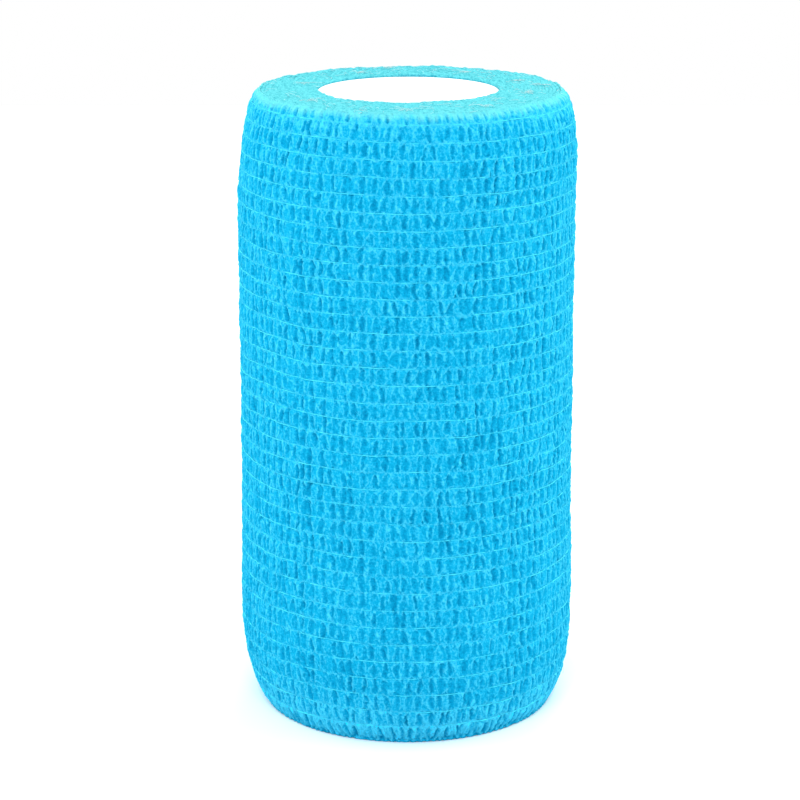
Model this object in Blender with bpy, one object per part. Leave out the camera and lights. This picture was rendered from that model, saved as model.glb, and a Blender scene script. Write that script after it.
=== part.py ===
# A roll of crinkled elastic bandage standing on its end, wound on a paper tube.
# Metres, +Z up along the roll. The origin is the centre of the base, and the cut tail is at the back, at +Y.
import math

import bmesh
import bpy

# Driving dimensions
bandage_width = 0.100        # height of the roll as it stands
roll_radius = 0.0267         # largest radius, at half height
bore_radius = 0.01415        # where the first turn lies against the tube
cloth_thickness = 0.0007     # one turn, which is also the step at the tail

top_inset = 0.0031           # how far the turns draw in at the top edge
top_rise = 0.014             # height over which they do
base_inset = 0.0046          # the same at the base
base_rise = 0.014

tail_angle = math.radians(100)    # direction of the cut tail, at the back
tail_ease = math.radians(80)      # turn over which the step under the tail is pressed flat

fit_gap = 0.0003             # between the tube and the first turn
tube_wall = 0.0012
tube_end_gap = 0.0003        # how far the tube ends inside the winding at each end

outline_steps = 96           # points round the outline of the winding
shoulder_steps = 7           # rows over each drawn-in end
bore_steps = 64
cutter_overrun = 0.005


def clearScene():
    for thing in list(bpy.data.objects):
        bpy.data.objects.remove(thing, do_unlink=True)


def makeMaterial(name, color, roughness):
    material = bpy.data.materials.new(name)
    material.use_nodes = True
    shader = material.node_tree.nodes["Principled BSDF"]
    shader.inputs["Base Color"].default_value = (*color, 1.0)
    shader.inputs["Roughness"].default_value = roughness
    shader.inputs["Metallic"].default_value = 0.0
    return material


def addObject(name, bm, material=None):
    mesh = bpy.data.meshes.new(name)
    bm.to_mesh(mesh)
    bm.free()
    if material:
        mesh.materials.append(material)
    thing = bpy.data.objects.new(name, mesh)
    bpy.context.collection.objects.link(thing)
    return thing


def smoothSides(thing):
    thing.data.shade_smooth()
    thing.data.set_sharp_from_angle(angle=math.radians(35))


def profileRows():
    """Height and inset of each row of the outline: a quarter ellipse at the base, another at the top."""
    rows = []
    for step in range(shoulder_steps + 1):
        turn = math.pi / 2 * (1 - step / shoulder_steps)
        rows.append((base_rise * (1 - math.sin(turn)), base_inset * (1 - math.cos(turn))))
    for step in range(shoulder_steps + 1):
        turn = math.pi / 2 * step / shoulder_steps
        height = bandage_width - top_rise * (1 - math.sin(turn))
        rows.append((height, top_inset * (1 - math.cos(turn))))
    return rows


def outlineRadius(turned):
    """Radius at an angle turned on from the tail: one thickness short there, and full once the step is eased out."""
    eased = min(turned / tail_ease, 1.0)
    eased = eased * eased * (3 - 2 * eased)
    return roll_radius - cloth_thickness * (1 - eased)


def windingMesh():
    """The wound outline at each height, joined row to row, with flat ends and the step of the tail as one strip."""
    bm = bmesh.new()
    loops = []
    for height, inset in profileRows():
        loop = []
        for point in range(outline_steps + 1):
            turned = 2 * math.pi * point / outline_steps
            radius = outlineRadius(turned) - inset
            angle = tail_angle + turned
            loop.append(bm.verts.new((radius * math.cos(angle), radius * math.sin(angle), height)))
        loops.append(loop)
    for lower, upper in zip(loops, loops[1:]):
        for here in range(len(lower)):
            after = (here + 1) % len(lower)
            bm.faces.new((lower[here], lower[after], upper[after], upper[here]))
    bm.faces.new(list(reversed(loops[0])))
    bm.faces.new(loops[-1])
    return bm


def turnedTube(outer, inner, low, high, steps):
    """A plain tube standing on the axis, from four circles bridged in a ring."""
    bm = bmesh.new()
    rings = []
    for radius, height in ((outer, low), (outer, high), (inner, high), (inner, low)):
        ring = []
        for point in range(steps):
            angle = 2 * math.pi * point / steps
            ring.append(bm.verts.new((radius * math.cos(angle), radius * math.sin(angle), height)))
        rings.append(ring)
    for ring, other in zip(rings, rings[1:] + rings[:1]):
        for here in range(steps):
            after = (here + 1) % steps
            bm.faces.new((ring[here], ring[after], other[after], other[here]))
    return bm


def boreCutter():
    """A closed post on the axis, longer than the roll, that leaves the bore."""
    bm = bmesh.new()
    length = bandage_width + 2 * cutter_overrun
    bmesh.ops.create_cone(bm, cap_ends=True, segments=bore_steps, radius1=bore_radius,
                          radius2=bore_radius, depth=length)
    bmesh.ops.translate(bm, verts=bm.verts, vec=(0, 0, bandage_width / 2))
    cutter = addObject("bore_cutter", bm)
    cutter.hide_render = True
    cutter.display_type = "WIRE"
    return cutter


def makeRoll():
    cloth = makeMaterial("crepe_cloth", (0.014, 0.497, 0.855), 0.9)
    roll = addObject("bandage_roll", windingMesh(), cloth)
    smoothSides(roll)
    bore = roll.modifiers.new("bore", "BOOLEAN")
    bore.operation = "DIFFERENCE"
    bore.solver = "EXACT"
    bore.object = boreCutter()
    return roll


def makeCore():
    paper = makeMaterial("core_paper", (0.86, 0.86, 0.85), 0.8)
    outer = bore_radius - fit_gap
    core = addObject("core_tube", turnedTube(outer, outer - tube_wall, tube_end_gap,
                                             bandage_width - tube_end_gap, bore_steps), paper)
    smoothSides(core)
    return core


clearScene()
makeRoll()
makeCore()
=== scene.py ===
# A roll of crinkled elastic bandage on its paper tube, standing on a pale floor.
# Metres, +Z up; the photo's view looks along +Y, and the cut tail is at the back.
import math

import bpy
import numpy as np
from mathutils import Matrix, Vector


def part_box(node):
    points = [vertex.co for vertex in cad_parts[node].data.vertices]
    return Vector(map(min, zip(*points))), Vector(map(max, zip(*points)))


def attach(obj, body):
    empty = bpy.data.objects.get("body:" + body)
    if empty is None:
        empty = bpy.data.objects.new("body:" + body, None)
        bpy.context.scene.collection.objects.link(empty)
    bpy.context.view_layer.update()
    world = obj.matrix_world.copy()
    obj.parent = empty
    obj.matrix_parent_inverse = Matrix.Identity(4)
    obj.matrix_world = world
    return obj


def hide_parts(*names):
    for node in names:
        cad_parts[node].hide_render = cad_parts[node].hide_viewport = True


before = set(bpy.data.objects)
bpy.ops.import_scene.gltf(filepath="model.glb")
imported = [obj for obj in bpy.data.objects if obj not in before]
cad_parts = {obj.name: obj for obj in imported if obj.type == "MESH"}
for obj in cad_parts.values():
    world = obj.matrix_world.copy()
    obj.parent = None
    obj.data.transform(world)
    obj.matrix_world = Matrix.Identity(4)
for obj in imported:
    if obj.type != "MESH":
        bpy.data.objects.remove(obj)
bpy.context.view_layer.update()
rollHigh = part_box("bandage_roll")[1]
tubeLow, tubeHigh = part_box("core_tube")

mm = 0.001
turn = 2 * math.pi
rollHeight = rollHigh.z
rollRadius = rollHigh.x
print("frame loaded")


# Eases 0..1: three x squared less two x cubed.
def smooth(x):
    x = np.clip(x, 0.0, 1.0)
    return x * x * (3 - 2 * x)


# Soft random surface, about -1..1: a table of random heights, eased between its whole numbers.
def waves(x, y, seed):
    size = 256
    table = np.random.default_rng(seed).uniform(-1, 1, (size, size))
    x, y = np.broadcast_arrays(np.asarray(x, float), np.asarray(y, float))
    xCell, yCell = np.floor(x).astype(int), np.floor(y).astype(int)
    xPart, yPart = smooth(x - xCell), smooth(y - yCell)
    left, right = xCell % size, (xCell + 1) % size
    near, far = yCell % size, (yCell + 1) % size
    low = table[left, near] * (1 - xPart) + table[right, near] * xPart
    high = table[left, far] * (1 - xPart) + table[right, far] * xPart
    return low * (1 - yPart) + high * yPart


# Sum of such surfaces. A term holds a height, the mm between its random heights along x and y, and a seed.
def ripples(terms, x, y):
    return sum(height * waves(x / (across * mm), y / (up * mm), seed)
               for height, across, up, seed in terms)


# Sum of lines across such surfaces. A term holds a height, the mm between its random heights, the line's
# place for k = 0, how far on the line for the next k lies, and a seed.
def wander(terms, s, k=0):
    return sum(height * waves(s / (along * mm), place + k * step, seed)
               for height, along, place, step, seed in terms)


# A smooth-shaded piece from points, quads and flat caps, with corner maps, a number for each point by name,
# and normals of its own where its points have them.
def addMesh(name, points, quads, material, caps=(), maps=None, normals=None, **numbers):
    mesh = bpy.data.meshes.new(name)
    mesh.from_pydata(points.reshape(-1, 3), [], quads.tolist() + [list(cap) for cap in caps])
    shaded = np.ones(len(mesh.polygons), bool)
    shaded[len(quads):] = False
    mesh.polygons.foreach_set("use_smooth", shaded)
    if normals is not None:
        corners = [normals.reshape(-1, 3)[quads.ravel()]]
        for polygon, cap in zip(mesh.polygons[len(quads):], caps):
            corners.append(np.tile(polygon.normal, (len(cap), 1)))
        mesh.normals_split_custom_set(np.concatenate(corners))
    for key, corners in (maps or {}).items():
        layer = mesh.uv_layers.new(name=key)
        layer.data.foreach_set("uv", np.asarray(corners, np.float32).ravel())
    for key, value in numbers.items():
        layer = mesh.attributes.new(key, "FLOAT", "POINT")
        layer.data.foreach_set("value", np.asarray(value, np.float32).ravel())
    mesh.materials.append(material)
    piece = bpy.data.objects.new(name, mesh)
    bpy.context.scene.collection.objects.link(piece)
    return piece


bakeLayout = {  # shares of the width and height of the image in OFBake
    "sides": 0.97,  # what the strips for the sides take up
    "capsAt": (0.975, 0.989),  # where the caps of the near and the far ends start
    "capWidth": 0.010,
    "margin": 0.01,  # left free at both edges of a strip
}


# Skins carried along paths: rings[path, column, point] are joined ring to ring, each ring to its own start,
# and both ends are capped. clothMap holds the metres along and around. OFBake spreads them over one image,
# in a strip for each path or bakeRows strips for a single one, shared out among the points as room says.
def addLoft(name, rings, along, room, material, bakeRows=1, normals=None, **numbers):
    paths, columns, around = rings.shape[:3]
    ring = np.arange(around)
    after = (ring + 1) % around
    first = np.arange(paths)[:, None, None] * columns * around
    start = first + np.arange(columns - 1)[None, :, None] * around
    quads = np.stack([start + ring + around, start + after + around, start + after, start + ring], -1)
    nearCaps = first[:, 0] + ring
    farCaps = first[:, 0] + (columns - 1) * around + ring[::-1]
    step = np.linalg.norm(np.roll(rings, -1, axis=2) - rings, axis=3).mean((0, 1))
    girth = np.concatenate([[0], np.cumsum(step)])
    spread = np.concatenate([[0], np.cumsum(step * room)])
    margin = bakeLayout["margin"]
    inner = 1 - 2 * margin
    spread = margin + inner * spread / spread[-1]
    strips = max(paths, bakeRows)
    perStrip = (columns - 1) // bakeRows
    column = np.arange(columns - 1)[None, :, None, None]
    strip = np.arange(paths)[:, None, None, None] * bakeRows + column // perStrip
    ahead = np.array([1, 1, 0, 0])
    beside = ring[:, None] + np.array([0, 1, 1, 0])
    shape = (paths, columns - 1, around, 4)
    cloth = np.stack([
        np.broadcast_to(along[:, np.arange(columns - 1)[:, None, None] + ahead], shape),
        np.broadcast_to(girth[beside], shape),
    ], -1)
    bake = np.stack([
        np.broadcast_to((column % perStrip + ahead) / perStrip * bakeLayout["sides"], shape),
        np.broadcast_to((strip + spread[beside]) / strips, shape),
    ], -1)
    capCloth, capBake = [], []
    for path in range(paths):
        for end, order, left, row in zip((0, columns - 1), (ring, ring[::-1]), bakeLayout["capsAt"],
                                         (path * bakeRows, (path + 1) * bakeRows - 1)):
            loop = rings[path, end]
            out = np.linalg.norm(loop[:, :2], axis=1)
            height = loop[:, 2]
            across = (out - out.min()) / max(np.ptp(out), 1e-9)
            rise = (height - height.min()) / max(np.ptp(height), 1e-9)
            capCloth.append(np.stack([along[path, end] + across * mm, height], -1)[order])
            capBake.append(np.stack([left + bakeLayout["capWidth"] * across,
                                     (row + margin + inner * rise) / strips], -1)[order])
    caps = np.stack([nearCaps, farCaps], 1).reshape(-1, around)
    maps = {
        "clothMap": np.concatenate([cloth.reshape(-1, 2), np.concatenate(capCloth)]),
        "OFBake": np.concatenate([bake.reshape(-1, 2), np.concatenate(capBake)]),
    }
    return addMesh(name, rings, quads.reshape(-1, 4), material, caps.tolist(), maps, normals, **numbers)


def newMaterial(name):
    material = bpy.data.materials.new(name)
    material.use_nodes = True
    return material, material.node_tree.nodes


# Sets a node's sockets to plain values, or links other nodes' outputs to them.
def feed(node, values):
    for name, value in values.items():
        if hasattr(value, "is_output"):
            node.id_data.links.new(value, node.inputs[name])
        else:
            node.inputs[name].default_value = value


view = {
    "distance": 0.4147,  # metres from the roll's axis
    "height": 0.1642,
    "pitch": 14.4,  # degrees down
    "lens": {"lens": 120.1, "sensor_width": 36, "shift_x": -0.0080, "shift_y": -0.0625, "clip_start": 0.01},
}


def addCamera():
    data = bpy.data.cameras.new("camera")
    for name, value in view["lens"].items():
        setattr(data, name, value)
    camera = bpy.data.objects.new("camera", data)
    camera.location = (0, -view["distance"], view["height"])
    camera.rotation_euler = (math.radians(90 - view["pitch"]), 0, 0)
    bpy.context.scene.collection.objects.link(camera)
    bpy.context.scene.camera = camera


lights = {
    "world": {"Color": (1, 1, 1, 1), "Strength": 1.0},
    "panels": [  # name, place, size, watts, colour
        ("frontPanel", (-0.06, -0.66, 0.62), 0.45, 5.65, (1, 1, 1)),
        ("leftPanel", (-0.75, 0.12, 0.30), 0.85, 7.0, (1, 1, 0.83)),
        ("rightPanel", (0.75, 0.12, 0.30), 0.85, 7.9, (1, 1, 0.83)),
        ("backPanel", (0.20, 0.65, 0.60), 0.50, 2.5, (1, 1, 1)),
    ],
    "aim": (0, 0, 0.05),
    "floorSide": 0.60,  # from the axis; past it the white surroundings show
    # the floor's faint cyan tint is a painted reflection: lit past white in the open, it shows only in the
    # contact shadow, standing in for blue light thrown back from the cloth
    "floor": {"Base Color": (0.69, 0.80, 0.84, 1), "Roughness": 0.9, "Specular IOR Level": 0.2},
}


def addLight():
    world = bpy.data.worlds.new("studio")
    world.use_nodes = True
    feed(world.node_tree.nodes["Background"], lights["world"])
    bpy.context.scene.world = world
    bpy.context.scene.view_settings.view_transform = "Standard"
    for name, place, size, watts, color in lights["panels"]:
        data = bpy.data.lights.new(name, "AREA")
        data.shape = "SQUARE"
        data.size = size
        data.energy = watts
        data.color = color
        panel = bpy.data.objects.new(name, data)
        panel.location = place
        towards = Vector(lights["aim"]) - Vector(place)
        panel.rotation_euler = towards.to_track_quat("-Z", "Y").to_euler()
        bpy.context.scene.collection.objects.link(panel)


# A square of one face at height 0.
def addFloor():
    material, nodes = newMaterial("floorWhite")
    feed(nodes["Principled BSDF"], lights["floor"])
    side = lights["floorSide"]
    corners = np.array([(-side, -side, 0), (side, -side, 0), (side, side, 0), (-side, side, 0)])
    addMesh("floor", corners, np.array([[0, 1, 2, 3]]), material)


addCamera()
addLight()
addFloor()
print("camera, light and floor set")


# A node with its settings, fed with values.
def addNode(nodes, kind, values, **settings):
    node = nodes.new("ShaderNode" + kind)
    for name, setting in settings.items():
        setattr(node, name, setting)
    feed(node, values)
    return node


def addMath(nodes, operation, *values):
    return addNode(nodes, "Math", dict(enumerate(values)), operation=operation).outputs[0]


# value * factor + offset, as one Math node.
def scaled(nodes, value, factor, offset):
    return addMath(nodes, "MULTIPLY_ADD", value, factor, offset)


def addNoise(nodes, vector, scale, detail, roughness=0.5, distortion=0.0):
    values = {"Vector": vector, "Scale": scale, "Detail": detail, "Roughness": roughness}
    return addNode(nodes, "TexNoise", {**values, "Distortion": distortion}).outputs["Fac"]


def addMapping(nodes, vector, scale, rotation=(0, 0, 0)):
    values = {"Vector": vector, "Scale": scale, "Rotation": rotation}
    return addNode(nodes, "Mapping", values).outputs["Vector"]


# Bright where the value passes a level: 1 at it, and eased down to 0 a half width away.
def lineAt(nodes, value, level, half):
    apart = addMath(nodes, "ABSOLUTE", scaled(nodes, value, 1.0, -level))
    values = {"Value": apart, "From Max": half, "To Min": 1.0, "To Max": 0.0}
    return addNode(nodes, "MapRange", values, interpolation_type="SMOOTHSTEP").outputs["Result"]


def addRamp(nodes, value, stops):
    ramp = addNode(nodes, "ValToRGB", {"Fac": value})
    elements = ramp.color_ramp.elements
    while len(elements) < len(stops):
        elements.new(0.5)
    for element, (position, color) in zip(elements, stops):
        element.position = position
        element.color = color
    return ramp.outputs["Color"]


def addBump(nodes, height, depth, **before):
    values = {"Strength": 1.0, "Distance": depth, "Height": height, **before}
    return addNode(nodes, "Bump", values).outputs["Normal"]


def addNumber(nodes, name):
    return addNode(nodes, "Attribute", {}, attribute_name=name).outputs["Fac"]


grainLook = {
    "cloud": {"detail": 3, "roughness": 0.65},
    "fibre": {"detail": 1, "distortion": 0.6},
    "fibreAngles": ((0.24, 0, 0.6), (-0.20, 0, -0.5)),
    "fibreSqueezes": ((1.0, 0.35, 1.0), (0.35, 1.0, 1.0)),
    "fibreHalf": 0.08,  # half width of a fibre, in heights of its noise
}


# Grain shared by cloth, threads, lint and paper. Mottle is cloudy noise. Fibres is bright along the middle
# level of two turned and squeezed noises, where their lines wander like fibres.
def makeGrainGroup():
    group = bpy.data.node_groups.new("fibreGrain", "ShaderNodeTree")
    for name, way, kind in (("Vector", "INPUT", "Vector"), ("Per Metre", "INPUT", "Float"),
                            ("Mottle", "OUTPUT", "Float"), ("Fibres", "OUTPUT", "Float")):
        group.interface.new_socket(name, in_out=way, socket_type="NodeSocket" + kind)
    nodes = group.nodes
    entry, leave = nodes.new("NodeGroupInput"), nodes.new("NodeGroupOutput")
    place, perMetre = entry.outputs["Vector"], entry.outputs["Per Metre"]
    cloud = addNoise(nodes, place, perMetre, **grainLook["cloud"])
    lines = []
    for rotation, squeeze in zip(grainLook["fibreAngles"], grainLook["fibreSqueezes"]):
        turned = addMapping(nodes, place, squeeze, rotation)
        level = addNoise(nodes, turned, perMetre, **grainLook["fibre"])
        lines.append(lineAt(nodes, level, 0.5, grainLook["fibreHalf"]))
    feed(leave, {"Mottle": cloud, "Fibres": addMath(nodes, "MAXIMUM", *lines)})
    return group


grainGroup = makeGrainGroup()


def addGrain(nodes, vector, perMetre):
    grain = addNode(nodes, "Group", {"Vector": vector, "Per Metre": perMetre}, node_tree=grainGroup)
    return grain.outputs["Mottle"], grain.outputs["Fibres"]


clothLook = {  # a pair of numbers is a value's factor and offset
    # painted shade and light: the darkest stop is painted shade down in the hollows, the crest stop a
    # painted highlight, and the palest stop paints light onto the lowest rows, which face down
    "shades": (
        (0.0, (0.0000, 0.160, 0.315, 1)),  # down in the hollows
        (0.333, (0.0020, 0.275, 0.485, 1)),
        (0.667, (0.0440, 0.420, 0.625, 1)),  # along the crests
        (1.0, (0.0000, 0.570, 0.990, 1)),  # towards the base
    ),
    # mottle, patch and fibres are the cloth's own uneven tone; crinkle, ridge and crease paint highlight
    # where the relief stands out
    "weights": {
        "crinkle": 0.50, "ridge": 0.30, "crease": 0.12, "mottle": 1.20, "patch": 0.20, "fibres": 0.14,
    },
    "shadeFit": (0.667, -0.660),  # brings the weighted sum to 0..1
    "edgeShades": (
        (0.0, (0.024, 0.280, 0.345, 1)),  # fluffy cut edges
        (0.5, (0.095, 0.455, 0.520, 1)),
        (1.0, (0.100, 0.510, 0.560, 1)),  # where they turn over the rim
    ),
    "edgeFromShade": (0.5, -0.80), "edgeMottle": 2.0, "edgeFibres": 0.15,
    "edgeMask": (0.8, 0.62),  # of the mottle that breaks up the fluff
    "grainPerMetre": 2600,  # clouds in the nonwoven
    "patchPerMetre": 170, "patch": {"detail": 2},  # slow changes of shade
    "crinklePerMetre": (2000, 1000, 1),  # small creases, along the roll's outline and up it
    "crinkle": {"detail": 2, "distortion": 0.5},
    # the ridge and crease lines are painted highlights, along the crests round the hollows and along the
    # creases
    "ridgeAt": 0.11, "ridgeHalf": 0.20,  # mm outside a hollow, the middle of its crest and the half width
    "ridgeFade": (3.0, -0.8),  # of the crinkle that makes the crests fade in and out along their length
    "creaseHalf": 0.34,  # a crease's half width, in heights of its noise
    "roughness": (0.2, 0.78),  # of the mottle
    "crinkleDepth": 0.07 * mm,
    "ridgeDepth": 0.03 * mm, "creaseHeight": 0.7,  # the creases' height as a share of the crests'
    "grainDepth": 0.035 * mm, "fibreHeight": 0.25,
    "surface": {
        "Specular IOR Level": 0.02, "Sheen Weight": 0.10, "Sheen Roughness": 0.35,
        "Sheen Tint": (0.25, 0.95, 1, 1),
    },
}


# Crinkled nonwoven with painted shade. A number on the piece picks a painted shade, from dark down in the
# hollows to pale along the crests. Its rim number is the distance in mm outside the nearest hollow, and its
# crease number passes nought along the creases: both give painted highlight lines. Small creases add
# painted highlight, grain shifts the tone, and the edge number turns it to the paler fluff of a cut edge.
def makeCloth():
    own = clothLook
    material, nodes = newMaterial("crepeCloth")
    place = addNode(nodes, "UVMap", {}, uv_map="clothMap").outputs["UV"]
    fold = addNumber(nodes, "fold")
    mottle, fibres = addGrain(nodes, place, own["grainPerMetre"])
    stretched = addMapping(nodes, place, own["crinklePerMetre"])
    crinkle = addNoise(nodes, stretched, 1, **own["crinkle"])
    patch = addNoise(nodes, place, own["patchPerMetre"], **own["patch"])
    ridge = lineAt(nodes, addNumber(nodes, "rim"), own["ridgeAt"], own["ridgeHalf"])
    ridge = addMath(nodes, "MULTIPLY", ridge, scaled(nodes, crinkle, *own["ridgeFade"]))
    crease = lineAt(nodes, addNumber(nodes, "crease"), 0.0, own["creaseHalf"])
    parts = {"crinkle": crinkle, "ridge": ridge, "crease": crease, "mottle": mottle, "patch": patch,
             "fibres": fibres}
    shade = fold
    for part, weight in own["weights"].items():
        shade = scaled(nodes, parts[part], weight, shade)
    body = addRamp(nodes, scaled(nodes, shade, *own["shadeFit"]), own["shades"])
    pale = scaled(nodes, mottle, own["edgeMottle"], scaled(nodes, fold, *own["edgeFromShade"]))
    pale = scaled(nodes, fibres, own["edgeFibres"], pale)
    mask = scaled(nodes, mottle, *own["edgeMask"])
    mask = addMath(nodes, "MULTIPLY", addNumber(nodes, "edge"), mask)
    mask.node.use_clamp = True
    fluff = addRamp(nodes, pale, own["edgeShades"])
    mix = addNode(nodes, "Mix", {"Factor": mask, "A": body, "B": fluff}, data_type="RGBA")
    normal = addBump(nodes, crinkle, own["crinkleDepth"])
    height = scaled(nodes, crease, own["creaseHeight"], ridge)
    normal = addBump(nodes, height, own["ridgeDepth"], Normal=normal)
    height = scaled(nodes, fibres, own["fibreHeight"], mottle)
    feed(nodes["Principled BSDF"], {
        "Base Color": mix.outputs["Result"],
        "Roughness": scaled(nodes, mottle, *own["roughness"]),
        "Normal": addBump(nodes, height, own["grainDepth"], Normal=normal),
        **own["surface"],
    })
    return material


plainLook = {
    "mottleShade": (1.6, -0.45),  # factor and offset
    "fibreShade": 0.35,
    "roughness": (0.2, -0.1),  # factor of the mottle, and offset from the finish's own roughness
    "fibreHeight": 0.5,
    "surface": {"Specular IOR Level": 0.05},
    # dark and light shade, grain per metre, roughness and depth of the grain
    "elasticThread": ((0.010, 0.440, 0.640, 1), (0.070, 0.680, 0.820, 1), 900, 0.6, 0.01 * mm),
    "looseFibre": ((0.005, 0.320, 0.520, 1), (0.045, 0.460, 0.680, 1), 700, 0.8, 0.01 * mm),
    "lintFibre": ((0.30, 0.52, 0.55, 1), (0.55, 0.62, 0.63, 1), 700, 0.7, 0.01 * mm),
    "corePaper": ((0.80, 0.80, 0.78, 1), (0.90, 0.90, 0.89, 1), 1500, 0.85, 0.03 * mm),
}


# Plain stock with the shared grain: shade, roughness and bump all follow it.
def makeGrained(name):
    dark, light, perMetre, roughness, depth = plainLook[name]
    material, nodes = newMaterial(name)
    place = addNode(nodes, "TexCoord", {}).outputs["Object"]
    mottle, fibres = addGrain(nodes, place, perMetre)
    shade = scaled(nodes, mottle, *plainLook["mottleShade"])
    shade = scaled(nodes, fibres, plainLook["fibreShade"], shade)
    factor, offset = plainLook["roughness"]
    height = scaled(nodes, fibres, plainLook["fibreHeight"], mottle)
    feed(nodes["Principled BSDF"], {
        "Base Color": addRamp(nodes, shade, ((0.0, dark), (1.0, light))),
        "Roughness": scaled(nodes, mottle, factor, roughness + offset),
        "Normal": addBump(nodes, height, depth),
        **plainLook["surface"],
    })
    return material


clothFinish = makeCloth()
threadFinish = makeGrained("elasticThread")
fibreFinish = makeGrained("looseFibre")
lintFinish = makeGrained("lintFibre")
paperFinish = makeGrained("corePaper")
print("finishes made")


winding = {
    "turns": 18,
    "thickness": 0.66 * mm,
    "pitch": 0.69 * mm,  # one turn's share of the radius at half height
    "tailAngle": math.radians(100),  # where the cut tail ends, at the back
    "tailEase": math.radians(80),  # angle over which the step under it is pressed flat
    "lap": math.radians(12),  # angle that the last turn reaches on under its own tail
    "topInset": 3.1 * mm, "topRise": 14 * mm,
    "baseInset": 4.2 * mm, "baseRise": 14 * mm,
    "used": (0.995, 0.965),  # how much of the ellipses is used at top and base
    "bulge": 0.30 * mm, "bulgeAt": 19 * mm, "bulgeReach": 10 * mm,  # a slight fullness above the base
    "topRaise": 0.20 * mm,  # how far the turns' edges stand past the bandage's width
    "topRound": 0.10 * mm,  # and how far below that the rounding of the edges starts
    "edgeDrop": 0.10 * mm,  # how much lower the last turn's edge lies at the top
    "baseLift": 0.02 * mm,  # and how much higher at the base
    "topLean": 0.70 * mm,  # the outer turns lean to the right at the top
    "baseLean": 0.30 * mm,  # and at the base
    "leanOver": (0.20, 0.16),  # the shares of the height that these leans take
    "coreLean": 0.30 * mm,  # and the tube leans evenly along its height
}
boreRadius = rollRadius - winding["turns"] * winding["pitch"]
wall = rollRadius - boreRadius


# Radius of the winding at a height: the full radius less a quarter ellipse at each end and plus a bell
# curve above the base, with the slope of the ellipses.
def envelope(z):
    topUsed, baseUsed = winding["used"]
    up = np.clip((z - (rollHeight - winding["topRise"])) / winding["topRise"], 0, topUsed)
    down = np.clip((winding["baseRise"] - z) / winding["baseRise"], 0, baseUsed)
    upRoot, downRoot = np.sqrt(1 - up * up), np.sqrt(1 - down * down)
    radius = rollRadius - winding["topInset"] * (1 - upRoot) - winding["baseInset"] * (1 - downRoot)
    radius = radius + winding["bulge"] * np.exp(-((z - winding["bulgeAt"]) / winding["bulgeReach"]) ** 2)
    slope = (winding["baseInset"] / winding["baseRise"] * down / downRoot
             - winding["topInset"] / winding["topRise"] * up / upRoot)
    return radius, slope


# Outer radius at half height for an angle from the start of the last turn: one pitch less for each turn
# before, and eased up by a pitch at the start of each turn.
def turnRadius(turned):
    whole = np.floor(turned / turn)
    part = turned - whole * turn
    return rollRadius + winding["pitch"] * (whole - 1 + smooth(part / winding["tailEase"]))


# Sideways lean at a height, for a share of the way from the bore to the outside: eased in over the ends
# outside, growing evenly with the height at the bore, and a mix between.
def lean(z, share):
    topOver, baseOver = winding["leanOver"]
    outer = (winding["topLean"] * smooth(1 - (rollHeight - z) / (topOver * rollHeight))
             + winding["baseLean"] * smooth(1 - z / (baseOver * rollHeight)))
    return share * outer + (1 - share) * winding["coreLean"] * z / rollHeight


# A point of the cloth: the turn's radius is squeezed towards the bore as the envelope narrows, inward goes
# straight in, depth goes in along the envelope's normal, lift goes up, and the lean moves it to the right.
def windPoint(turned, z, depth=0.0, inward=0.0, lift=0.0):
    radius, slope = envelope(z)
    slope = np.clip(slope, -1, 1)
    out = (turnRadius(turned) - boreRadius) * (radius - boreRadius) / wall
    length = np.sqrt(1 + slope * slope)
    r = boreRadius + out - depth / length - inward
    angle = winding["tailAngle"] + turned
    x = r * np.cos(angle) + lean(z, np.clip(out / wall, 0, 1))
    return np.stack(np.broadcast_arrays(x, r * np.sin(angle), z + depth * slope / length + lift), -1)


threads = {
    "count": 36,
    "first": 98.43 * mm,  # height of the top thread
    "gap": 2.60 * mm,
    "growth": 0.0032 * mm,  # the gaps widen a little towards the base
    "lastDrop": 0.40 * mm,  # the last ones a little more, by this power of their place
    "lastPower": 8,
    "skew": 0.013,  # the upper threads run down to the right
    "level": (8 * mm, 4 * mm),  # zones at base and top in which the threads become level with the edge
    "wander": ((0.16 * mm, 9, 0, 0.35, 5), (0.06 * mm, 1.9, 40, 1.7, 6)),
    "radius": 0.085 * mm,
    "dips": ((0.14 * mm, 1.0, 0, 1.7, 51), (0.168 * mm, 3.3, 0, 2.3, 53)),  # into the cloth here and there
    "proud": 0.04 * mm,
    "sides": 3,
    "columns": 460,
    "spare": (0.3 * mm, 1.5 * mm),  # what sticks out past the cut tail
    "spareCurl": 0.25,  # how steeply that runs up or down
    "tailShare": 0.9,  # how far they rise with the tail, as a share of its lift
}


# Height of thread k: evenly dropping with a slow growth, tilted across the front, and wandering a little.
def threadHeight(k, turned):
    own = threads
    base = own["first"] - own["gap"] * k - own["growth"] * k * k
    base = base - own["lastDrop"] * (k / (own["count"] - 1)) ** own["lastPower"]
    angle = winding["tailAngle"] + turned
    tilt = -own["skew"] * (base / rollHeight) ** 2 * rollRadius * np.cos(angle)
    low, high = own["level"]
    fade = min(1.0, base / low) * min(1.0, (rollHeight - base) / high)
    return base + fade * (tilt + wander(own["wander"], turned * rollRadius, k))


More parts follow.
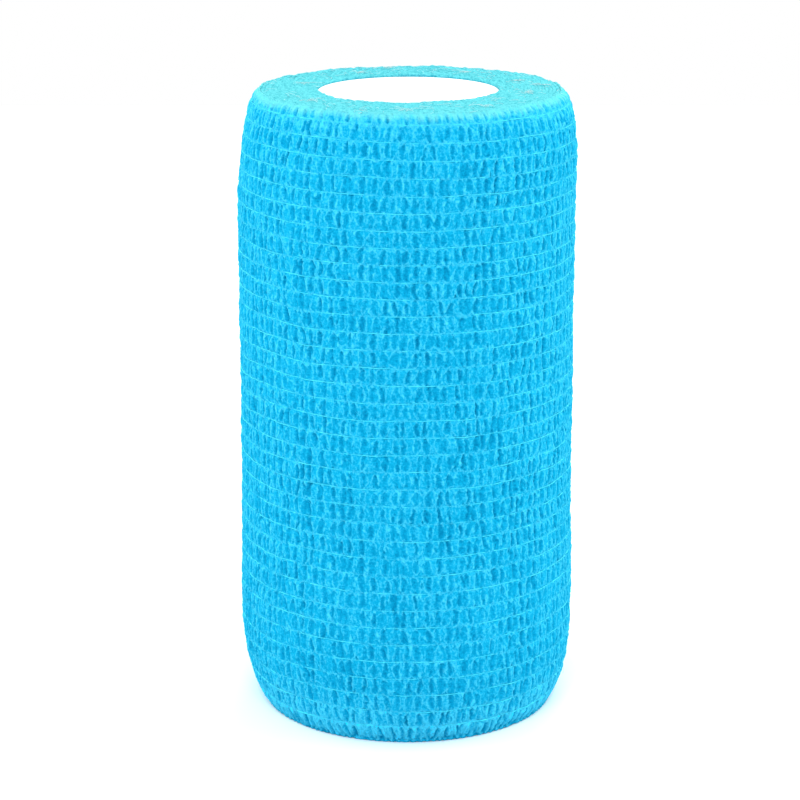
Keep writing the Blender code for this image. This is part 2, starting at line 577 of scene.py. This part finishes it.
puckers = {  # mm throughout, where nothing else is said
    "cells": {  # the hollows between the threads
        "seed": 100, "seedStep": 1,
        "step": (1.15, 2.15),  # from one to the next along a row
        "half": (0.32, 0.66),
        "depth": (0.17, 0.41),
        "middle": (0.42, 0.58), "reach": (0.36, 0.54),  # shares of the row's height
    },
    "dots": {  # short ones beside the threads
        "seed": 200, "seedStep": 3,
        "step": (1.2, 3.6),
        "half": (0.12, 0.26),
        "depth": (0.12, 0.28),
        "middle": (0.12, 0.15, 0.85, 0.88, 0.5), "reach": (0.09, 0.22),
    },
    "drift": (0.60, 5, 0.45),  # how far the rows wander from a shared pitch, how slowly, and row by row
    "jitter": 0.32,  # and each hollow for itself
    "early": 4, "more": 8,  # how far before a row's start its hollows start, and how many are spare
    "slant": 0.25, "bow": 0.18,
    "tips": 0.35,  # how slowly the distance to a hollow grows past its tips
    "farthest": 0.5,  # the most that this distance is followed to
    "floor": (0.95, 0.05),  # ease of a hollow's floor: a share of its half width, and more
    "strength": 0.85,
    "patches": ((0.20, 7, 6, 23), (0.20, 1.2, 0.9, 27)),  # where the puckers are flatter and fuzzier
    "wobble": ((0.22, 0.60, 0.55, 25), (0.05, 0.28, 0.28, 28)),  # how unsteady the outlines are
    "rim": 0.11, "rimAt": 0.04, "rimHalf": 0.17,  # the crests round a hollow
    "base": 0.15,  # how deep the cloth lies between crests
    "crease": 0.10, "creaseSize": (0.75, 1.3), "creaseStep": 7.3, "creaseSharp": 2.6,
    "warp": ((0.6, 1.3, 0.9, 24),),
    "grit": 0.050, "gritNoise": ((1, 0.34, 0.34, 26),),
    "pinch": 0.16, "pinchPower": 0.35,  # how far the threads draw the cloth in
    "uneven": ((0.10, 13, 11, 21), (0.06, 3.6, 4.2, 22), (0.08, 1.7, 1.6, 29)),
    "deepest": 0.58,
    # painted shade: the hollows are painted darker, the raised grit paler, and a band beside the threads
    # paler where the pinched cloth lies flatter
    "shade": 0.44,  # 0 dark to 1 pale, and what the next ones add to it
    "pitShade": -0.32, "gritShade": 0.11,
    "threadBandShade": 0.16, "threadBandHalf": 0.07,  # beside the threads, as a share of the row's height
}


# Places and sizes of a row's hollows. The places are the same in all rows but for a drift and a jitter.
def hollowTable(kind, row, start, end):
    row = row * kind["seedStep"]
    count = int((end - start) / (kind["step"][0] * mm)) + puckers["more"]
    steps = np.random.default_rng(kind["seed"]).uniform(*kind["step"], count)
    places = start - puckers["early"] * mm + np.cumsum(steps) * mm
    rng = np.random.default_rng(kind["seed"] + row + 1)
    drift, length, change = puckers["drift"]
    slow = drift * waves(places / (length * mm), row * change, kind["seed"])
    places = places + (slow + puckers["jitter"] * rng.uniform(-1, 1, count)) * mm
    middle = kind["middle"]
    return {
        "place": np.sort(places),
        "half": rng.uniform(*kind["half"], count) * mm,
        "depth": rng.uniform(*kind["depth"], count) * mm,
        "middle": rng.choice(middle, count) if len(middle) > 2 else rng.uniform(*middle, count),
        "reach": rng.uniform(*kind["reach"], count),
        "slant": rng.normal(0, puckers["slant"], count) * mm,
        "bow": rng.normal(0, puckers["bow"], count) * mm,
    }


# Depth of the deepest hollow near distance s and share v up a row, and the distance to the nearest outline,
# less than nought inside it. A hollow is a squarish lens: its half width follows the root of one less the
# fourth power of the way to its tips, and its floor is eased down from the outline. Past the tips the
# distance grows slowly, so that the outline runs on as one line.
def hollows(table, s, v):
    here = np.searchsorted(table["place"], s) - 1
    side = v - 0.5
    deepest = np.zeros(np.broadcast(s, v).shape)
    nearest = np.full(deepest.shape, puckers["farthest"] * mm)
    share, more = puckers["floor"]
    for step in (-1, 0, 1, 2):
        n = np.clip(here + step, 0, len(table["place"]) - 1)
        centre = table["place"][n] + table["slant"][n] * side + table["bow"][n] * (4 * side ** 2 - 0.5)
        up = np.abs(v - table["middle"][n]) / table["reach"][n]
        lens = np.sqrt(np.clip(1 - up ** 4, 0, 1))
        half = table["half"][n] * lens
        past = np.clip(up - 1, 0, None) * table["reach"][n] * threads["gap"]
        apart = np.abs(s - centre) - half + puckers["tips"] * past
        fall = smooth(-apart / (share * half + more * mm))
        deepest = np.maximum(deepest, table["depth"][n] * np.sqrt(lens) * fall)
        nearest = np.minimum(nearest, apart)
    return deepest, nearest


# The cloth at distance s along a row, share v up it and height z: how far it lies in, its painted shade,
# the distance in mm outside the nearest hollow, and a number that passes nought along the creases, where a
# warped noise does. It lies in by a base depth, the pinch beside the threads and the hollows, less a bell
# curve along the hollows' outlines, straight-sided creases and a fine grit. The painted shade is darker in
# the hollows, paler on the raised grit, and paler in a band beside the threads, where the pinched cloth
# lies flatter.
def pucker(row, s, v, z):
    own = puckers
    start, end = s.min(), s.max()
    strength = own["strength"] + ripples(own["patches"], s, z)
    astray = s + mm * ripples(own["wobble"], s, z)
    pit, outline = hollows(hollowTable(own["cells"], row, start, end), astray, v)
    dot, dotOutline = hollows(hollowTable(own["dots"], row, start, end), astray, v)
    pit = np.maximum(pit, dot) * strength
    closer = np.where(np.abs(outline) < np.abs(dotOutline), outline, dotOutline)
    outline = np.where(pit > 0, np.minimum(outline, dotOutline), closer) / mm
    across, up = own["creaseSize"]
    level = waves(s / (across * mm) + ripples(own["warp"], s, z),
                  z / (up * mm) + row * own["creaseStep"], 11)
    deep = pit / (own["cells"]["depth"][1] * mm)
    crest = np.exp(-((outline - own["rimAt"]) / own["rimHalf"]) ** 2) * strength
    crease = (1 - np.clip(np.abs(level) * own["creaseSharp"], 0, 1)) * (1 - deep)
    pinch = own["pinch"] * (1 - np.sin(math.pi * np.clip(v, 0, 1)) ** own["pinchPower"])
    grit = ripples(own["gritNoise"], s, z)
    depth = own["base"] + pinch - own["rim"] * crest - own["crease"] * crease
    depth = (depth - own["grit"] * grit) * mm + pit
    threadBand = np.exp(-((0.5 - np.abs(v - 0.5)) / own["threadBandHalf"]) ** 2)
    shade = own["shade"] + own["pitShade"] * deep + own["gritShade"] * grit + own["threadBandShade"] * threadBand
    return depth, shade, outline, level + 2 * deep


# Slow unevenness of the surface, in metres, that the threads follow too.
def unevenness(s, z):
    return ripples(puckers["uneven"], s, z) * mm


stretches = {
    "count": 4,  # pieces that the last turn is made in
    "columns": 268,
    "shares": (0.0, 0.07, 0.18, 0.30, 0.43, 0.57, 0.70, 0.82, 0.93),  # points up a row
    "topShares": (0.0, 0.22, 0.45, 0.72, 1.0),
    "baseRound": 0.12 * mm,  # how far above the base the rounding of the edge starts
    "highest": 0.15 * mm,  # how far a crest may stand out
    "leastWall": 0.05 * mm,
    # the points over the top edge, down the inside and round the base edge: the level each is measured
    # from, mm above that, whether it follows the edge's waves, share of the thickness, paleness and room
    "inside": (
        ("top", 0.08, 1, 0.2, 1, 4), ("top", 0.11, 1, 0.45, 1, 4), ("top", 0.03, 1, 0.72, 1, 4),
        ("top", -0.3, 0, 1, 0, 0.2), ("top", -4, 0, 1, 0, 0.1), ("middle", 0, 0, 1, 0, 0.1),
        ("base", 5, 0, 1, 0, 0.1), ("base", 0.3, 0, 1, 0, 0.2), ("base", -0.08, 1, 0.8, 0.4, 4),
        ("base", -0.13, 1, 0.5, 0.1, 4), ("base", -0.08, 1, 0.2, 0, 4),
    ),
    "insideShade": 0.4,
    "edgeWave": ((0.10 * mm, 0.7, 5, 0, 31),),
    "scallop": 0.20 * mm,  # how far the base edge lifts between its lobes
    "lobe": 1.35 * mm, "lobeDrift": ((0.8, 3, 6, 0, 34),),
    "lobePower": 1.5, "lobeStrength": 0.65, "lobeWaves": ((0.35, 2.3, 8, 0, 38),),
    "lobeIn": (0.9, -0.10 * mm),  # the base edge lies in by this share of its lift, and this much more
    "streaks": ((1, 0.33, 4, 0, 33),),
    "paleZone": 1.15 * mm, "paleEase": 1.0 * mm, "paleRagged": 0.35 * mm,  # the fluffy border at the top
    "paleness": 0.95, "paleStreak": 0.25,
    "palePit": 0.5, "palePitBelow": 0.40,  # hollows darker than this are less pale
    # painted shade in the dips between the lobes, where the base edge lifts off the floor
    "baseZone": 0.9 * mm, "lobeShade": -0.6,
    # painted light: the lowest rows face down and get less light, so they are painted paler
    "lowZone": 10 * mm, "lowShade": 0.36,  # the lowest rows are paler
    # the painted shade of hollows and crests is made stronger towards the top and in the low zone
    "contrast": (0.84, 0.36, 0.9),  # of the shade, more towards the top, and more in the low zone
    "topZone": (5 * mm, 1 * mm), "topShade": 0.18, "topEdgeShade": 0.10,
    # painted shade along the last of the base edge, where it meets the floor
    "underZone": 0.5 * mm, "underShade": -0.30,  # the last of the base edge
    "tailZone": 5 * mm,
    "tailLift": 0.28 * mm, "tailLiftWaves": ((0.6, 9, 1.5, 0, 37),),
    "tailRagged": ((0.30 * mm, 1.1, 2.5, 0, 35), (0.18 * mm, 7, 8.5, 0, 36)),
    "tailSag": 0.4 * mm, "tailSagOver": 0.1,  # the tail's upper corner hangs, over this share of the height
    "cutZone": 0.6 * mm, "cutPale": 0.15, "cutShade": 0.20,
    "floorGap": 0.01 * mm,
}


# Slow ups and downs of the turns' upper edges.
def edgeRise(x, y):
    return ripples(layers["rise"], x, y)


# 1 at the cut tail, and eased down to 0 over a zone before it.
def nearTail(s, zone):
    return smooth(1 - (turn * rollRadius - s) / zone)


# The last turn: rows of puckers between its threads outside, a plain inside, and rounded edges between
# them. The outline of a column runs up the outside, over the top edge, down the inside and round the base
# edge. The top edge waves by noise, and the base edge lifts in lobes, by a power of a raised cosine.
def outerTurn():
    own = stretches
    columns = own["columns"] * own["count"] + 1
    turned = np.linspace(-winding["lap"], turn, columns)
    s = turned * rollRadius
    thick = winding["thickness"]
    topEdge = rollHeight + winding["topRaise"] - winding["edgeDrop"] - winding["topRound"]
    baseEdge = winding["baseLift"] + own["baseRound"]
    levels = [np.full(columns, baseEdge)]
    levels += [threadHeight(k, turned) for k in reversed(range(threads["count"]))]
    levels += [np.full(columns, topEdge)]
    parts = []
    for row, (below, above) in enumerate(zip(levels, levels[1:])):
        shares = own["shares"] if row < threads["count"] else own["topShares"]
        v = np.array(shares)[:, None]
        z = below + (above - below) * v
        parts.append((z, *pucker(row, s[None, :], v, z)))
    z, depth, shade, rim, crease = [np.concatenate(part) for part in zip(*parts)]
    depth = np.clip(depth, -own["highest"], puckers["deepest"] * mm) + unevenness(s[None, :], z)
    depth = np.minimum(depth, thick - own["leastWall"])
    streak = wander(own["streaks"], s)
    radius, angle = turnRadius(turned), winding["tailAngle"] + turned
    edgeWave = wander(own["edgeWave"], s)
    edgeWave = edgeWave + edgeRise(radius * np.cos(angle), radius * np.sin(angle))
    lobes = 0.5 - 0.5 * np.cos(turn * (s / own["lobe"] + wander(own["lobeDrift"], s)))
    scallop = own["scallop"] * lobes ** own["lobePower"]
    scallop = scallop * (own["lobeStrength"] + wander(own["lobeWaves"], s))
    ragged = z + own["paleRagged"] * streak
    nearTop = smooth((ragged - topEdge + own["paleZone"]) / own["paleEase"])
    nearBase = smooth(1 - (z - baseEdge) / own["baseZone"])
    low = smooth(1 - z / own["lowZone"])
    # the hollows' painted shade also shows through the pale border at the top
    pit = np.minimum(shade - own["palePitBelow"], 0)
    pale = nearTop * (own["paleness"] + own["paleStreak"] * streak + own["palePit"] * pit)
    pale = np.clip(pale, 0, 1)
    # The painted shade of the hollows and crests is made stronger towards the top and in the low zone. The
    # lowest rows get painted light, and the dips between the lobes and the last of the base edge get
    # painted shade.
    plain, rising, lowest = own["contrast"]
    contrast = plain + rising * z / rollHeight + lowest * low
    shade = puckers["shade"] + (shade - puckers["shade"]) * contrast
    shade = shade + own["lowShade"] * low + own["lobeShade"] * lobes * nearBase
    zoneStart, zoneEnd = own["topZone"]
    shade = shade + own["topShade"] * smooth((z - topEdge + zoneStart) / (zoneStart - zoneEnd))
    shade = shade + own["topEdgeShade"] * nearTop
    shade = shade + own["underShade"] * smooth(1 - (z - baseEdge) / own["underZone"])
    share, more = own["lobeIn"]
    depth = depth + (share * scallop + more) * nearBase
    face = [z, depth, 0 * z, edgeWave * nearTop + scallop * nearBase, shade, pale]
    edges = {"top": (topEdge, edgeWave), "middle": (rollHeight / 2, 0), "base": (baseEdge, scallop)}
    flat = np.ones(columns)
    back = []
    for at, above, follow, share, paleness, _ in own["inside"]:
        level, edge = edges[at]
        level = level + above * mm + follow * edge
        back.append([flat * value for value in (
            level, 0, share * thick, 0, own["insideShade"], paleness)])
    back = np.array(back).transpose(1, 0, 2)
    z, depth, inward, lift, shade, pale = [np.concatenate(pair) for pair in zip(face, back)]
    # the cut tail is a little ragged, and stands off the turn under it
    tail = nearTail(s, own["tailZone"]) ** 2
    cut = nearTail(s, own["cutZone"])
    ragged = wander(own["tailRagged"], z) / rollRadius
    depth = depth - tail * own["tailLift"] * (1 + wander(own["tailLiftWaves"], z))
    lift = lift - own["tailSag"] * tail * smooth(1 - (1 - z / rollHeight) / own["tailSagOver"])
    pale = np.maximum(pale, own["cutPale"] * cut)
    shade = shade + own["cutShade"] * cut
    points = windPoint(turned + tail * ragged, z, depth, inward, lift).transpose(1, 0, 2)
    points[..., 2] = np.maximum(points[..., 2], own["floorGap"])  # nothing dips into the floor
    # no crests or creases on the inside
    hidden = np.full((len(own["inside"]), columns), 0.5)
    rim, crease = np.concatenate([rim, hidden]), np.concatenate([crease, 2 * hidden])
    room = np.ones(len(z))
    room[-len(hidden):] = [row[-1] for row in own["inside"]]
    upward = np.roll(points, -1, axis=1) - np.roll(points, 1, axis=1)
    outward = np.cross(np.gradient(points, axis=0), upward)
    outward /= np.linalg.norm(outward, axis=2, keepdims=True)
    for number in range(own["count"]):
        part = slice(number * own["columns"], (number + 1) * own["columns"] + 1)
        piece = addLoft(f"outerTurn{number + 1}", points[None, part], s[None, part], room, clothFinish,
                        normals=outward[part], fold=shade[:, part].T, edge=pale[:, part].T,
                        rim=rim[:, part].T, crease=crease[:, part].T)
        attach(piece, "root")
        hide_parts("bandage_roll")


layers = {
    "columnsPerTurn": 250,
    "fill": 1.06,  # how much of the pitch a turn takes up
    "thinStart": 0.1,  # and the share of that at the start of the first
    "rise": ((0.14 * mm, 5, 5, 41),),  # slow ups and downs of the edges
    "grain": ((0.10 * mm, 0.42, 0.42, 42),),  # small ones
    "fringe": ((0.05 * mm, 0.35, 9, 0, 46),),  # and the smallest, along the strip
    "nudge": ((0.13 * mm, 0.9, 0.9, 43),),  # sideways crinkle of the edges
    "nudgeOver": 1.5 * mm,  # how far from the edges that fades
    "outerTurns": 1.5,  # over how many turns the last turn's drop and lift fade
    "dropShare": 0.4, "riseAtBase": 0.5,
    "lowest": 0.02 * mm,
    "shade": 0.15, "speckle": ((0.30, 0.5, 0.5, 45),),
    # the points of a column's outline: the edge each is measured from, mm above it, share of the
    # thickness, paleness and room
    "outline": (
        ("base", 0.15, 0, 0.1, 0.5), ("base", 5, 0, 0, 0.05), ("top", -4, 0, 0, 0.3),
        ("top", -0.03, 0, 0.97, 8), ("top", -0.01, 0.22, 1, 8), ("top", 0, 0.5, 1, 8),
        ("top", -0.01, 0.78, 1, 8), ("top", -0.03, 1, 0.97, 2), ("top", -0.30, 1, 0.7, 0.3),
        ("top", -4, 1, 0, 0.05), ("base", 5, 1, 0, 0.5), ("base", 0.15, 1, 0.5, 8),
        ("base", 0.04, 0.8, 0.7, 8), ("base", 0, 0.5, 0.8, 8), ("base", 0.04, 0.2, 0.7, 8),
    ),
}


# The turns beneath, as one spiral strip: a column's outline runs up its outside, over the rounded top edge,
# down its inside and round the base edge. Its edges rise, fall and bend by noise over the end faces, so
# neighbours nest.
def innerTurns():
    count = winding["turns"] - 1
    columns = layers["columnsPerTurn"] * count + 1
    turned = np.linspace(-turn * count, -winding["lap"], columns)
    radius = turnRadius(turned)
    s = np.concatenate([[0], np.cumsum(np.diff(turned) * (radius[1:] + radius[:-1]) / 2)])
    beneath = -turned / turn
    angle = winding["tailAngle"] + turned
    x, y = radius * np.cos(angle), radius * np.sin(angle)
    within = 1 - winding["pitch"] / radius
    near = np.exp(-beneath / layers["outerTurns"])
    slow = edgeRise(x, y)
    rough = ripples(layers["grain"], x, y) + wander(layers["fringe"], s)
    top = rollHeight + winding["topRaise"] - winding["topRound"] + slow + rough
    top = top - layers["dropShare"] * winding["edgeDrop"] * near
    base = winding["baseLift"] * near + layers["riseAtBase"] * np.abs(slow) + np.abs(rough)
    edges = {"top": top, "base": np.maximum(layers["lowest"], base)}
    nudge = ripples(layers["nudge"], x, y) * np.clip(beneath - 1, 0, 1)
    inNudge = ripples(layers["nudge"], x * within, y * within) * np.clip(beneath, 0, 1)
    # its start is thin against the tube
    begun = smooth((turned - turned[0]) / winding["tailEase"])
    thick = winding["pitch"] * layers["fill"] * (layers["thinStart"] + (1 - layers["thinStart"]) * begun)
    rows = []
    for at, above, share, _, _ in layers["outline"]:
        level = edges[at] + above * mm
        squeeze = (envelope(level)[0] - boreRadius) / wall
        apart = np.minimum(np.abs(level - edges["top"]), np.abs(level - edges["base"]))
        bent = (nudge * (1 - share) + inNudge * share) * np.exp(-apart / layers["nudgeOver"])
        rows.append(windPoint(turned, level, inward=bent + thick * share * squeeze))
    pale, room = np.array([row[-2:] for row in layers["outline"]]).T
    shade = layers["shade"] + ripples(layers["speckle"], x, y)
    rings = np.array(rows).transpose(1, 0, 2)
    shape = rings.shape[:2]
    piece = addLoft("innerTurns", rings[None], s[None], room, clothFinish, bakeRows=count,
                    fold=np.broadcast_to(shade[:, None], shape), edge=np.broadcast_to(pale, shape),
                    rim=np.full(shape, 0.5), crease=np.full(shape, 1.0))
    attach(piece, "root")
    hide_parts("bandage_roll")


# Thin tubes round the last turn, one in each pinch: rings of points round a path that bridges the hollows,
# dips under the cloth here and there, and runs on past the cut tail by an uneven length.
def elasticThreads():
    own = threads
    rng = np.random.default_rng(52)
    around = turn * np.arange(own["sides"]) / own["sides"]
    rings, lengths = [], []
    for k in range(own["count"]):
        spare = rng.uniform(*own["spare"])
        curl = rng.normal(0, own["spareCurl"])
        turned = np.linspace(-winding["lap"], turn + spare / rollRadius, own["columns"])
        s = turned * rollRadius
        z = threadHeight(k, turned) + curl * np.clip(s - turn * rollRadius, 0, None)
        depth = (puckers["base"] + puckers["pinch"]) * mm + unevenness(s, z) - own["proud"]
        depth = depth + wander(own["dips"], s, k)
        tail = nearTail(s, stretches["tailZone"]) ** 2
        depth = depth - tail * stretches["tailLift"] * own["tailShare"]
        rings.append(np.stack([
            windPoint(turned, z + own["radius"] * math.sin(a), depth - own["radius"] * math.cos(a))
            for a in around], 1))
        lengths.append(s)
    room = np.ones(len(around))
    piece = addLoft("elasticThreads", np.array(rings), np.array(lengths), room, threadFinish)
    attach(piece, "root")


fuzz = {
    "sideCount": 340,
    "edgeCount": 200,
    "sideHeights": (2.2, 98.5),  # mm
    "edgeRadii": (14.6, 23.6),  # mm
    "sunk": 0.12 * mm,  # how deep those on the side start
    "topLevel": 0.24 * mm,  # where those on the top start, above the bandage's width
    "rimFrom": 22.4 * mm, "rimFall": 0.35,  # and how much lower where the top turns down
    "hair": ((0.5 * mm, 1.8 * mm), 0.016 * mm, 0.40),  # least and most length, radius, curl
    "lintHair": ((0.3 * mm, 1.2 * mm), 0.020 * mm, 0.90),
    "lint": (  # tangles of paler fibres on the top: degrees round, radius in mm
        (168, 17.2), (251, 23.4), (268, 22.0), (20, 18.5), (6, 20.5), (343, 19.0),
        (222, 20.0), (301, 21.5), (60, 18.0), (118, 17.0), (99, 21.0),
    ),
    "lintFibres": 14,  # in each tangle
    "lintSpread": 0.45 * mm,
    "steps": 6, "sides": 3,
    "arch": 0.16 * mm, "archSpread": (0.3, 1.3),  # how high a loose fibre stands off the cloth
    "wiggle": 0.10, "wiggleAngle": 7,
}


# Loose fibres as thin three-sided tubes: a start on the cloth, a heading on it, a sideways curl that grows
# with the square of the length, a small wiggle by a sine, and an arch off the cloth by half a sine.
def looseFibres(name, angle, out, z, outs, hair, seed, finish):
    (shortest, longest), radius, curl = hair
    rng = np.random.default_rng(seed)
    count, steps, sides = len(angle), fuzz["steps"], fuzz["sides"]
    places = np.stack([np.cos(angle) * out + lean(z, out / rollRadius), np.sin(angle) * out, z], 1)
    tangent = np.stack([-np.sin(angle), np.cos(angle), 0 * angle], 1)
    heading = rng.uniform(0, turn, count)[:, None]
    headings = tangent * np.cos(heading) + np.cross(outs, tangent) * np.sin(heading)
    lengths = rng.uniform(shortest, longest, count)
    t = np.linspace(0, 1, steps)
    bend = rng.normal(0, curl, (count, 1))
    wiggle = rng.uniform(0, turn, (count, 1))
    sideways = bend * t * t + fuzz["wiggle"] * (np.sin(wiggle + fuzz["wiggleAngle"] * t) - np.sin(wiggle))
    arch = fuzz["arch"] * np.sin(math.pi * t) * rng.uniform(*fuzz["archSpread"], (count, 1))
    reach = lengths[:, None, None]
    path = (places[:, None] + headings[:, None] * t[:, None] * reach
            + np.cross(outs, headings)[:, None] * reach * sideways[..., None]
            + outs[:, None] * arch[..., None])
    ahead = np.gradient(path, axis=1)
    ahead /= np.linalg.norm(ahead, axis=2, keepdims=True)
    across = np.cross(ahead, outs[:, None])
    across /= np.linalg.norm(across, axis=2, keepdims=True)
    up = np.cross(ahead, across)
    rings = np.stack([path + radius * (math.cos(a) * across - math.sin(a) * up)
                      for a in turn * np.arange(sides) / sides], 2)
    piece = addLoft(name, rings, t * lengths[:, None], np.ones(sides), finish)
    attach(piece, "root")


# Blue ones over the side, paler ones over the top face and its rim, and small tangles of the palest.
def addFibres():
    rng = np.random.default_rng(61)
    count = fuzz["sideCount"]
    angle = rng.uniform(0, turn, count)
    z = rng.uniform(*fuzz["sideHeights"], count) * mm
    outs = np.stack([np.cos(angle), np.sin(angle), 0 * angle], 1)
    looseFibres("sideFibres", angle, envelope(z)[0] - fuzz["sunk"], z, outs, fuzz["hair"], 62, fibreFinish)
    count = fuzz["edgeCount"]
    angle, out = rng.uniform(0, turn, count), rng.uniform(*fuzz["edgeRadii"], count) * mm
    lint = np.array(fuzz["lint"]).repeat(fuzz["lintFibres"], axis=0)
    lintAngle = np.radians(lint[:, 0]) + rng.normal(0, fuzz["lintSpread"] / rollRadius, len(lint))
    lintOut = lint[:, 1] * mm + rng.normal(0, fuzz["lintSpread"], len(lint))
    for name, angle, out, hair in (("edgeFibres", angle, out, fuzz["hair"]),
                                   ("lintFibres", lintAngle, lintOut, fuzz["lintHair"])):
        outs = np.tile([0, 0, 1.0], (len(angle), 1))
        z = rollHeight + fuzz["topLevel"] - fuzz["rimFall"] * np.clip(out - fuzz["rimFrom"], 0, None)
        looseFibres(name, angle, out, z, outs, hair, 63, lintFinish)


tube = {
    "steps": 120, "rows": 12,
    "lipSteps": 5,
    "gap": 0.01 * mm,  # to the first turn
    "wall": 1.2 * mm,
    "lip": 0.30 * mm,  # how far its ends are rounded
    "wobble": 0.05 * mm,  # out of round
}


# The paper tube: a rounded outline of its wall, carried round the axis and leaned with the winding. The
# outline is joined all round in both directions.
def paperTube():
    outer = boreRadius - tube["gap"]
    inner = outer - tube["wall"]
    low, high = tubeLow.z, tubeHigh.z
    lip = tube["lip"]
    arc = np.linspace(0, math.pi / 2, tube["lipSteps"])
    cosine, sine = lip * np.cos(arc), lip * np.sin(arc)
    middle = np.linspace(low + lip, high - lip, tube["rows"])[1:-1]
    r = np.concatenate([outer + 0 * middle, outer - lip + cosine, inner + lip - sine,
                        inner + 0 * middle, inner + lip - cosine, outer - lip + sine])
    z = np.concatenate([middle, high - lip + sine, high - lip + cosine,
                        middle[::-1], low + lip - sine, low + lip - cosine])
    steps, around = tube["steps"], len(r)
    angle = turn * np.arange(steps)[:, None] / steps
    radius = r + tube["wobble"] * np.sin(2 * angle + z / rollHeight)
    x = radius * np.cos(angle) + winding["coreLean"] * z / rollHeight
    points = np.stack([x, radius * np.sin(angle), np.broadcast_to(z, radius.shape)], -1)
    here = np.arange(steps)[:, None] * around
    after = (np.arange(steps)[:, None] + 1) % steps * around
    ring, beside = np.arange(around), (np.arange(around) + 1) % around
    quads = np.stack([after + ring, after + beside, here + beside, here + ring], -1).reshape(-1, 4)
    piece = addMesh("paperTube", points, quads, paperFinish)
    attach(piece, "root")
    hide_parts("core_tube")


outerTurn()
print("last turn made")
innerTurns()
print("inner turns made")
elasticThreads()
print("threads made")
addFibres()
print("fibres made")
paperTube()
print("tube made")
